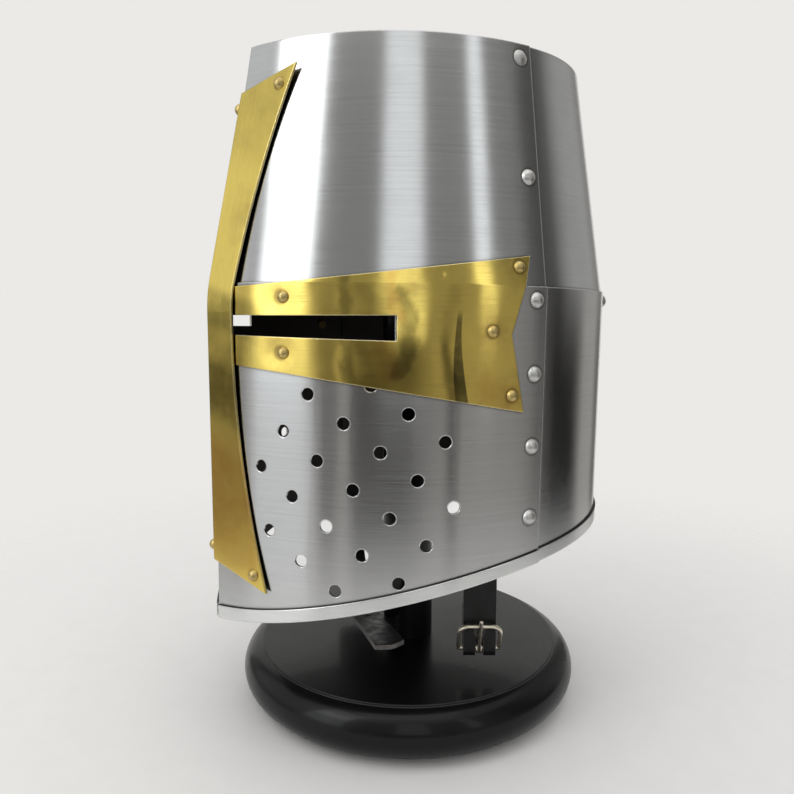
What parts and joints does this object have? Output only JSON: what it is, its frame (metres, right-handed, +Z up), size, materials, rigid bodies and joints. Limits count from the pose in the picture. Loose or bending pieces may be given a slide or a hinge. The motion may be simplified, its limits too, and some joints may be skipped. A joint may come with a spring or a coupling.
{
  "type": "great helm",
  "caption": "Flat-topped steel great helm with a brass cross over its eye slits, pierced breaths, leather liner and chin straps, resting on a round wooden display stand.",
  "frame": {"origin": "middle of the stand's underside, on the post's axis", "axes": "+Z up, the face of the helm looks along -Y, the wearer's left is +X"},
  "size_m": [0.205, 0.2456, 0.365],
  "materials": {
    "black_wood": "gloss black lacquer",
    "felt": "dark felt",
    "steel_plate": "fine brushed",
    "polished_steel": "polished",
    "steel_fittings": "plain",
    "brass_sheet": "polished, lightly tarnished",
    "brass_rivet": "satin",
    "liner_leather": "natural",
    "lace": "waxed",
    "strap_leather": "black, rough flesh side",
    "buckle_wire": "nickel plated wire"
  },
  "bodies": {
    "stand": {"stand_base": "black_wood", "base_felt": "felt", "stand_post": "black_wood", "post_screw": "steel_fittings", "post_pad": "felt"},
    "helm": {"upper_front_plate": "steel_plate", "lower_front_plate": "steel_plate", "upper_rear_plate": "steel_plate", "lower_rear_plate": "steel_plate", "crown_plate": "steel_plate", "front_rim_left": "polished_steel", "front_rim_right": "polished_steel", "rear_rim_band": "polished_steel", "cross_bar": "brass_sheet", "cross_arm_left": "brass_sheet", "cross_arm_right": "brass_sheet", "bar_rivets": "brass_rivet", "arm_rivets": "brass_rivet", "seam_rivets": "polished_steel", "crown_rivets": "polished_steel", "liner_rivets": "polished_steel", "strap_rivets": "polished_steel", "rivet_washers": "steel_fittings", "liner_band": "liner_leather", "liner_tongues": "liner_leather", "liner_lace": "lace"},
    "buckle_strap": {"buckle_strap": "strap_leather", "fold_rivet": "steel_fittings"},
    "buckle": {"buckle_frame": "buckle_wire"},
    "prong": {"buckle_prong": "buckle_wire"},
    "billet_strap": {"billet_strap": "strap_leather"}
  },
  "joints": [
    {"name": "helm_lift", "type": "slide", "parent": "stand", "child": "helm", "axis": [0, 0, 1], "range_m": [0, 0.34]},
    {"name": "buckle_strap_swing", "type": "hinge", "parent": "helm", "child": "buckle_strap", "pos_m": [0.0957, 0.0105, 0.12606], "axis": [0.9983, -0.0579, 0.001], "range_deg": [-20, 20]},
    {"name": "billet_strap_swing", "type": "hinge", "parent": "helm", "child": "billet_strap", "pos_m": [-0.0957, 0.0105, 0.12606], "axis": [0.9983, 0.0579, -0.001], "range_deg": [-20, 0]},
    {"name": "buckle_tilt", "type": "hinge", "parent": "buckle_strap", "child": "buckle", "pos_m": [0.0662, 0.0052, 0.0432], "axis": [0.5299, 0.848, 0], "range_deg": [0, 80]},
    {"name": "prong_tilt", "type": "hinge", "parent": "buckle", "child": "prong", "pos_m": [0.0662, 0.0052, 0.0432], "axis": [0.5299, 0.848, 0], "range_deg": [0, 40]}
  ]
}
